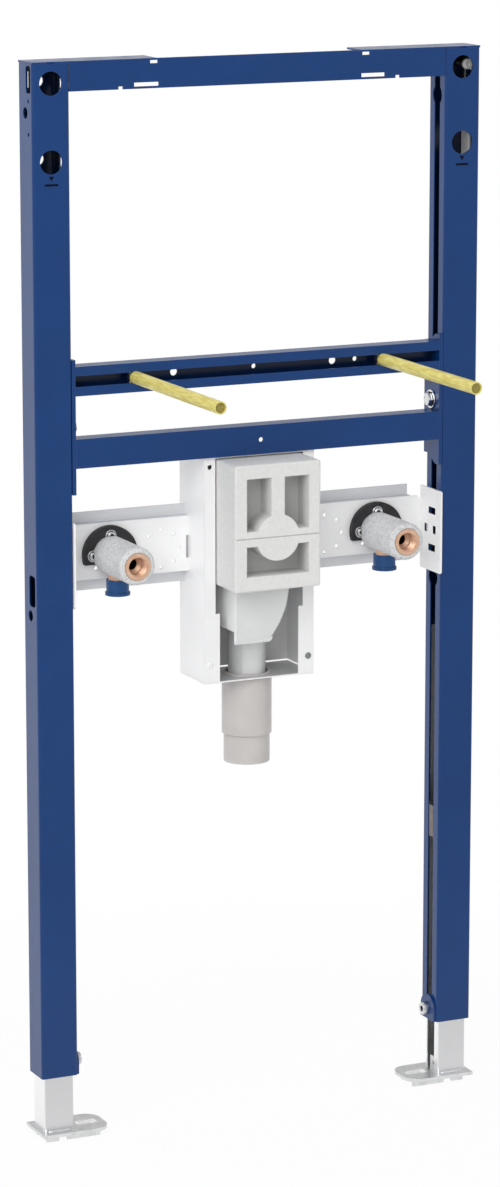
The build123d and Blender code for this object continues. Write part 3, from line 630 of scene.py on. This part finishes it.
def rail_bolt(side):
    """Hexagon bolt with its washer, and the nut behind the slot of the upright."""
    low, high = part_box(f"{side}_rail_bolt")
    inwards = INWARDS[side]
    washer, head = 1.6, 6.0
    tip_x = high.x if side == "left" else low.x
    seat = Vector((tip_x, (low.y + high.y) / 2, (low.z + high.z) / 2)) - inwards * head * MM
    crown, flats = 6.0, 13.0
    shank, nut_front, nut_back = 4.0, -6.0, -11.0
    bm = bmesh.new()
    place = along(seat, inwards)
    washer_side = [(0, 0), (9.7, 0), (10, 0.3), (10, 1.3), (9.7, washer), (7.0, washer)]
    head_side = [(hexagon(flats, head, crown), height) for height in steps_between(washer, head, 0.3)]
    head_top = [(4.8, head), (4.5, head - 0.3), (0, head - 0.3)]
    lathe(bm, place, washer_side + head_side + head_top, FINE_STEPS)
    lathe(bm, place, [(0, 0), (shank, 0), (shank, nut_front), (0, nut_front)])
    nut = oblong(24, 18, 4)
    lathe(bm, place, [(0, nut_front), (nut, nut_front), (nut, nut_back), (0, nut_back)])
    piece(bm, f"{side}_rail_bolt_detail", "frame", "zinc_steel", replaced=(f"{side}_rail_bolt",))
    # A dark ring in the gap between the washer and the head, painted shade
    inner, upper, outer = hexagon(12.6), hexagon(12.8), hexagon(15.4)
    sunk, proud, rise = washer - 0.2, washer + 0.02, washer + 0.5
    bm = bmesh.new()
    gap_ring = [(inner, sunk), (outer, sunk), (outer, proud), (upper, rise), (inner, rise), (inner, sunk)]
    lathe(bm, place, gap_ring, FINE_STEPS)
    piece(bm, f"{side}_rail_bolt_gap_shade", "frame", "zinc_steel", socket_shade)


def clamp_bolt(side):
    """Knurled socket-head bolt on the clamp tab."""
    low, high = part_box(f"{side}_clamp_bolt")
    inwards = INWARDS[side]
    head, head_radius, knurl_depth, knurl_count = 7.0, 7.0, 0.16, 32
    tip_x = high.x if side == "left" else low.x
    seat = Vector((tip_x, (low.y + high.y) / 2, (low.z + high.z) / 2)) - inwards * head * MM
    bm = bmesh.new()
    socket = hexagon(6.0)

    def knurl(angle, height):
        return head_radius - knurl_depth * (1 - math.cos(knurl_count * angle))

    lathe(bm, along(seat, inwards), [
        (0, -4.4), (4, -4.4), (4, 0), (6.6, 0), (knurl, 0.5), (knurl, 5.6), (6.7, 5.9), (6.6, 6.6),
        (6.2, head), (3.8, head), (socket, 6.7), (socket, 3.0), (0, 3.0)], FINE_STEPS)
    piece(bm, f"{side}_clamp_bolt_detail", "frame", "zinc_steel", replaced=(f"{side}_clamp_bolt",))
    # Dark lining of the hexagon socket, painted shade
    bm = bmesh.new()
    lathe(bm, along(seat, inwards), [(0, 2.9), (socket, 2.9), (socket, 5.2), (0, 4.8)], FINE_STEPS)
    piece(bm, f"{side}_clamp_bolt_socket", "frame", "zinc_steel", socket_shade)


def tap_screws(side):
    """Three flanged screws with star sockets, and their ends behind the plate."""
    tube_low, tube_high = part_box(f"{side}_tap_insulation")
    face_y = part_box(f"{side}_sound_pad")[0].y
    centre = Vector(((tube_low.x + tube_high.x) / 2, face_y, (tube_low.z + tube_high.z) / 2))
    circle, angles = 20.0, (0.0, 90.0, 180.0)
    head_top, socket_floor = 3.4, 2.5
    star_reach, star_depth, star_points = 2.6, 0.45, 6

    def star(angle, height):
        return star_reach - star_depth * (1 - math.cos(star_points * angle))

    heads = bmesh.new()
    sockets = bmesh.new()
    for degrees in angles:
        turn = math.radians(degrees)
        place = along(centre + circle * MM * Vector((math.cos(turn), 0, math.sin(turn))), TO_ROOM)
        lathe(heads, place, [
            (0, -12.5), (1.4, -12.5), (1.9, -11.5), (1.9, 0), (6.1, 0), (6.1, 0.8), (5.8, 1.1), (4.9, 1.1),
            (4.8, 0.7), (4.3, 0.7), (4.3, 2.6), (4.0, 3.1), (3.5, head_top), (star, head_top),
            (star, socket_floor - 0.6), (0, socket_floor - 0.6)], SCREW_STEPS)
        # Dark star sockets and a dark ring in the groove under each flange, painted shade
        lathe(sockets, place, [
            (0, socket_floor - 0.7), (star, socket_floor - 0.7), (star, socket_floor),
            (0, socket_floor - 0.4)], SCREW_STEPS)
        lathe(sockets, place, [
            (4.2, 0.6), (4.85, 0.6), (4.85, 0.72), (4.35, 0.72), (4.35, 0.9), (4.2, 0.9),
            (4.2, 0.6)], SCREW_STEPS)
    piece(heads, f"{side}_tap_screws_detail", "frame", "zinc_steel", replaced=(f"{side}_tap_screws",))
    piece(sockets, f"{side}_tap_screw_sockets", "frame", "zinc_steel", socket_shade)


def threaded_rod(side):
    """Rod with a cut thread at its free end, on the block behind the fixing rail."""
    low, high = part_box(f"{side}_threaded_rod")
    middle = Vector(((low.x + high.x) / 2, high.y, (low.z + high.z) / 2))
    length, holder_sheet, cut, pitch = (high.y - low.y) / MM, 6.0, 60.0, 1.5
    root, crest = 4.2, 5.0
    cut_start = length - cut
    screw = thread(root, crest, pitch)
    holder = oblong(12, 20, 2)
    shank = [(0, 0), (holder, 0), (holder, holder_sheet), (crest, holder_sheet), (crest, cut_start - 0.5)]
    turns = [(screw, height) for height in steps_between(cut_start, length - 1.2, pitch / 6)]
    tip = [(3.9, length), (0, length)]
    bm = bmesh.new()
    lathe(bm, along_upright(middle, TO_ROOM), shank + turns + tip, ROD_STEPS)
    piece(bm, f"{side}_threaded_rod_detail", "frame", "zinc_steel", replaced=(f"{side}_threaded_rod",))


def sleeve_end(side):
    """Closed end of the rod's sleeve, a little inside its rim, in a darker yellow as painted shade."""
    low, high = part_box(f"{side}_rod_sleeve")
    rim = Vector(((low.x + high.x) / 2, low.y, (low.z + high.z) / 2))
    bm = bmesh.new()
    lathe(bm, along(rim, TO_ROOM), [(0, -1.6), (3.8, -1.6), (5.15, -1.1), (5.15, -2.6), (0, -2.6)])
    piece(bm, f"{side}_rod_sleeve_end", "frame", "yellow_plastic", sleeve_end_shade)


def tap_thread(side):
    """Pipe thread inside the mouth of the tap elbow, and the narrower water way behind it, lined in dull dark
    as painted shade.
    """
    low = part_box(f"{side}_tap_elbow")[0]
    tube_low, tube_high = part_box(f"{side}_tap_insulation")
    mouth = Vector(((tube_low.x + tube_high.x) / 2, low.y, (tube_low.z + tube_high.z) / 2))
    pitch, depth, bore, way = 1.814, 12.5, 10.28, 5.6
    root, crest = 10.2, 9.3
    start, runout, groove, seat = -0.9, -depth - 0.6, -depth - 2.5, -depth - 5
    way_end, bore_end = -33.0, -33.9
    screw = thread(root, crest, pitch)
    turns = [(screw, -height) for height in steps_between(1.4, depth, pitch / 6)]
    bm = bmesh.new()
    shoulder = [(crest, runout), (bore, runout), (bore, groove), (way, seat)]
    lathe(bm, along(mouth, TO_ROOM), [(bore, start)] + turns + shoulder + [(bore, seat), (bore, start)])
    piece(bm, f"{side}_tap_thread", "frame", "bronze")
    bm = bmesh.new()
    lathe(bm, along(mouth, TO_ROOM), [
        (0, bore_end), (bore, bore_end), (bore, seat), (way, seat), (way, way_end), (0, way_end)])
    piece(bm, f"{side}_tap_bore", "frame", "bronze", bore_shade)


def tap_slit_shade(side):
    """Mid-grey sheet behind the slit of a tap plate, next to the trap box: painted shade seen through the
    slit.
    """
    wall_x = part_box("trap_box")[1].x
    plate_sheet, shade_width, shade_sheet, shade_half = 2.0 * MM, 4.0 * MM, 0.8 * MM, 13.0 * MM
    back_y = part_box(f"{side}_sound_pad")[1].y + plate_sheet
    near, far = sorted((-INWARDS[side].x * wall_x, -INWARDS[side].x * (wall_x + shade_width)))
    low_z, high_z = TAP_Z - shade_half, TAP_Z + shade_half
    bm = bmesh.new()
    plate(bm, [(near, low_z), (far, low_z), (far, high_z), (near, high_z)], back_y, back_y + shade_sheet)
    piece(bm, f"{side}_tap_slit_shade", "frame", "galvanised", slit_shade_sheet)


def anchor_screw(side):
    """Screw head behind the upper front hole of an upright."""
    low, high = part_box(f"{side}_upright")
    depth, aside, rise = 8.0 * MM, 10.1 * MM, 1.9 * MM
    head, reach, socket_floor = -3.0, -22.0, -1.6
    centre = Vector(((low.x + high.x) / 2, low.y + depth, UPPER_ANCHOR_Z + rise)) - aside * INWARDS[side]
    place = along(centre, TO_ROOM)
    bm = bmesh.new()
    lathe(bm, place, [
        (0, head), (5.6, head), (5.6, -1.0), (5.2, -0.3), (4.6, 0), (2.2, 0), (1.9, -0.3),
        (1.9, socket_floor), (0, socket_floor)])
    piece(bm, f"{side}_anchor_screw", "frame", "galvanised", anchor_zinc_shaded)
    # Dark shank behind the screw head, painted shade
    bm = bmesh.new()
    lathe(bm, place, [(0, reach), (3.0, reach), (3.0, head), (0, head)])
    piece(bm, f"{side}_anchor_shank", "frame", "galvanised", socket_shade)


def trap_neck():
    """Lower edge of the trap cup behind its shield, and the sleeve round its neck in a darker grey, as
    painted shade.
    """
    cup_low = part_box("trap_cup")[0]
    pipe_low, pipe_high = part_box("outlet_pipe")
    cup_drop, edge, right_x, depth = 41.0 * MM, 7.0 * MM, 12.0 * MM, 46.0 * MM
    cup_bottom = cover_low.z - cup_drop
    shield_back = cup_low.y + SHIELD_SHEET
    bm = bmesh.new()
    block(bm, (cup_low.x, shield_back, cup_bottom - edge), (right_x, shield_back + depth, cup_bottom))
    piece(bm, "trap_cup_edge", "frame", "grey_plastic")
    radius, foot_rise = 19.8, 4.0 * MM
    foot = Vector((0.0, (pipe_low.y + pipe_high.y) / 2, cup_low.z + foot_rise))
    rise = (cup_bottom - edge - foot.z) / MM
    bm = bmesh.new()
    lathe(bm, Matrix.Translation(foot), [(0, 0), (radius, 0), (radius, rise), (0, rise)])
    piece(bm, "trap_neck_sleeve", "frame", "grey_plastic", neck_plastic_shaded)


def slot_catch(side):
    """Small catch in the slot of an upright, its tone darkened by painted shade, with a dark block on top as
    painted shade in its notch.
    """
    low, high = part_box(f"{side}_upright")
    face_x = high.x if side == "left" else low.x
    outside, inside = 0.4 * MM, 1.6 * MM
    near, far = sorted((face_x - outside * INWARDS[side].x, face_x - inside * INWARDS[side].x))
    front_y, back_y = -4.5 * MM, 4.6 * MM
    bottom, top, notch = 0.274, 0.3087, 4.6 * MM
    bm = bmesh.new()
    block(bm, (near, front_y, bottom), (far, back_y, top))
    piece(bm, f"{side}_slot_catch", "frame", "galvanised", catch_sheet)
    bm = bmesh.new()
    block(bm, (near, front_y, top), (far, back_y, top + notch))
    piece(bm, f"{side}_slot_notch_shade", "frame", "galvanised", socket_shade)


def shield_lip():
    """Lower edge of the trap cup's shield, level from its left corner to its round side."""
    cup_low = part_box("trap_cup")[0]
    left, tip, bottom = -35.0, 7.5, -60.6
    left_edge, tip_edge, slack = -59.0, -55.0, 0.02
    tip_round = [(2.6, bottom), (4.6, -60.1), (6.0, -58.9), (6.9, -57.2)]
    outline = [(left, left_edge - slack), (left, bottom)] + tip_round + [(tip, tip_edge - slack)]
    bm = bmesh.new()
    plate(bm, [(x * MM, cover_low.z + z * MM) for x, z in outline], cup_low.y, cup_low.y + SHIELD_SHEET)
    piece(bm, "trap_shield_lip", "frame", "grey_plastic")


def box_seam():
    """Lower edge of the left wall of the trap box, down to its floor plate."""
    sheet, wall_rise, slack = 1.5 * MM, 1.8 * MM, 0.02 * MM
    bm = bmesh.new()
    block(bm, (box_low.x, box_low.y + sheet + slack, box_low.z + slack),
          (box_low.x + sheet, box_high.y - slack, box_low.z + wall_rise - slack))
    piece(bm, "trap_box_seam", "frame", "galvanised", box_sheet)


def box_rivet(side):
    """Blind rivet in the lower hole of a flange of the trap box."""
    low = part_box("trap_box")[0]
    hole_x, hole_rise = 56.25 * MM, 18.0 * MM
    centre = Vector((-INWARDS[side].x * hole_x, low.y, low.z + hole_rise))
    end, pit = -3.4, 0.6
    bm = bmesh.new()
    lathe(bm, along(centre, TO_ROOM), [
        (0, end), (2.2, end), (2.4, -3.0), (2.4, 0), (3.5, 0), (3.5, 0.25), (3.1, 0.7), (2.2, 1.0),
        (1.2, 1.1), (1.1, pit), (0, pit)])
    piece(bm, f"{side}_box_rivet", "frame", "zinc_steel", rivet_finish[side])


def foot_weld(side):
    """Rippled fillet welds where the leg stands on its foot plate."""
    leg_low, leg_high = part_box(f"{side}_leg")
    size, ripple, ripple_turn, gap = 1.5 * MM, 0.12, 0.62, 0.35 * MM
    end_taper, thinnest = 8, 0.05
    section = ((-0.3, -0.3), (1.0, -0.3), (1.0, 0.05), (0.82, 0.5), (0.5, 0.82), (0.05, 1.0), (-0.3, 1.0))
    inset = 4 * MM
    outer_x = leg_low.x if side == "left" else leg_high.x
    outwards = -INWARDS[side]
    floor_z = leg_low.z
    first_x, last_x = leg_low.x + inset, leg_high.x - inset
    lines = [
        ((first_x, leg_low.y, floor_z), (last_x, leg_low.y, floor_z), TO_ROOM),
        ((first_x, leg_high.y, floor_z), (last_x, leg_high.y, floor_z), -TO_ROOM),
        ((outer_x, leg_low.y + inset, floor_z), (outer_x, leg_high.y - inset, floor_z), outwards),
    ]
    bm = bmesh.new()
    for start, end, away in lines:
        start, end = Vector(start), Vector(end)
        rings = []
        count = int((end - start).length / gap)
        for step in range(count + 1):
            share = step / count
            taper = math.sqrt(min(1.0, end_taper * share, end_taper * (1 - share)))
            reach = size * max(thinnest, taper) * (1 - ripple * abs(math.sin(step * ripple_turn)))
            spot = start.lerp(end, share)
            rings.append([bm.verts.new(spot + reach * (out * away + rise * UP)) for out, rise in section])
        skin(bm, rings)
        bm.faces.new(rings[0])
        bm.faces.new(rings[-1])
    piece(bm, f"{side}_foot_weld", f"{side}_foot", "galvanised", foot_sheet)


for side in SIDES:
    metre_mark(side)
    rail_bolt(side)
    clamp_bolt(side)
    tap_screws(side)
    threaded_rod(side)
    sleeve_end(side)
    tap_thread(side)
    tap_slit_shade(side)
    box_rivet(side)
    foot_weld(side)
    slot_catch(side)
anchor_screw("right")
trap_neck()
shield_lip()
box_seam()


# Studio

def reflected_level(tree, across):
    """What a reflection sees: white behind the object, dimmer on the side of the room."""
    return ramp(tree, across, ROOM_DIM, 1.0, ROOM_SIDE, WALL_SIDE)


def seen_white(tree, across):
    """Brightness for camera and transmission rays (white) and for reflections (by direction)."""
    rays = tree.nodes.new("ShaderNodeLightPath").outputs
    straight = arithmetic(tree, "MAXIMUM", rays["Is Camera Ray"], rays["Is Transmission Ray"])
    mirrored = arithmetic(tree, "MULTIPLY", rays["Is Glossy Ray"], reflected_level(tree, across))
    level = arithmetic(tree, "MAXIMUM", straight, mirrored)
    seen = arithmetic(tree, "MAXIMUM", straight, rays["Is Glossy Ray"])
    return seen, level


def stage_material():
    """White floor that keeps a soft shadow close to the object and fades to pure white further out."""
    floor = Finish("studio_floor", Roughness=0.9, Specular_IOR_Level=0.0)
    floor.shader.inputs["Base Color"].default_value = (0.95, 0.95, 0.95, 1.0)
    distance = floor.add("ShaderNodeVectorMath", operation="LENGTH")
    floor.join(floor.place, distance.inputs[0])
    fade = floor.spread(distance.outputs["Value"], FLOOR_WHITE, 1.0, FADE_START, FADE_END)
    depth = floor.add("ShaderNodeSeparateXYZ")
    floor.join(floor.place, depth.inputs[0])
    seen, level = seen_white(floor.tree, depth.outputs["Y"])
    share = floor.sum("MULTIPLY", seen, fade)
    white = floor.add("ShaderNodeEmission")
    floor.join(level, white.inputs["Strength"])
    mix = floor.add("ShaderNodeMixShader")
    floor.join(share, mix.inputs[0])
    floor.join(floor.shader.outputs[0], mix.inputs[1])
    floor.join(white.outputs[0], mix.inputs[2])
    floor.join(mix.outputs[0], floor.tree.nodes["Material Output"].inputs["Surface"])
    return floor.material


def studio_floor():
    """A wide round floor."""
    bm = bmesh.new()
    bmesh.ops.create_circle(bm, cap_ends=True, radius=FLOOR_RADIUS, segments=FINE_STEPS)
    mesh = bpy.data.meshes.new("studio_floor")
    bm.to_mesh(mesh)
    bm.free()
    mesh.materials.append(stage_material())
    obj = bpy.data.objects.new("studio_floor", mesh)
    bpy.context.scene.collection.objects.link(obj)


def studio_world():
    """White to the camera, the studio's level to reflections, and a plain ambient level for the rest."""
    world = bpy.data.worlds.new("studio_world")
    world.use_nodes = True
    tree = world.node_tree
    direction = tree.nodes.new("ShaderNodeSeparateXYZ")
    tree.links.new(tree.nodes.new("ShaderNodeTexCoord").outputs["Generated"], direction.inputs[0])
    ceiling = ramp(tree, direction.outputs["Z"], 0.0, CEILING_DIM, CEILING_START, CEILING_END)
    seen, level = seen_white(tree, arithmetic(tree, "SUBTRACT", direction.outputs["Y"], ceiling))
    mix = tree.nodes.new("ShaderNodeMix")
    mix.inputs["A"].default_value = AMBIENT
    tree.links.new(seen, mix.inputs["Factor"])
    tree.links.new(level, mix.inputs["B"])
    background = tree.nodes["Background"]
    background.inputs["Color"].default_value = (1.0, 1.0, 1.0, 1.0)
    tree.links.new(mix.outputs["Result"], background.inputs["Strength"])
    bpy.context.scene.world = world


def softbox(name, place, size, power):
    """A square area light aimed at the middle of the frame."""
    lamp = bpy.data.lights.new(name, "AREA")
    lamp.size = size
    lamp.energy = power
    obj = bpy.data.objects.new(name, lamp)
    obj.matrix_world = along(place, Vector(place) - Vector(LIGHT_TARGET))
    bpy.context.scene.collection.objects.link(obj)


studio_floor()
studio_world()
for name, settings in LIGHTS.items():
    softbox(name, *settings)

camera = bpy.data.objects.new("camera", bpy.data.cameras.new("camera"))
camera.location = CAMERA_PLACE
camera.rotation_euler = (math.pi / 2 - CAMERA_DOWN, 0.0, CAMERA_TURN)
camera.data.lens = CAMERA_LENS
bpy.context.scene.collection.objects.link(camera)
bpy.context.scene.camera = camera
bpy.context.scene.view_settings.view_transform = "Standard"
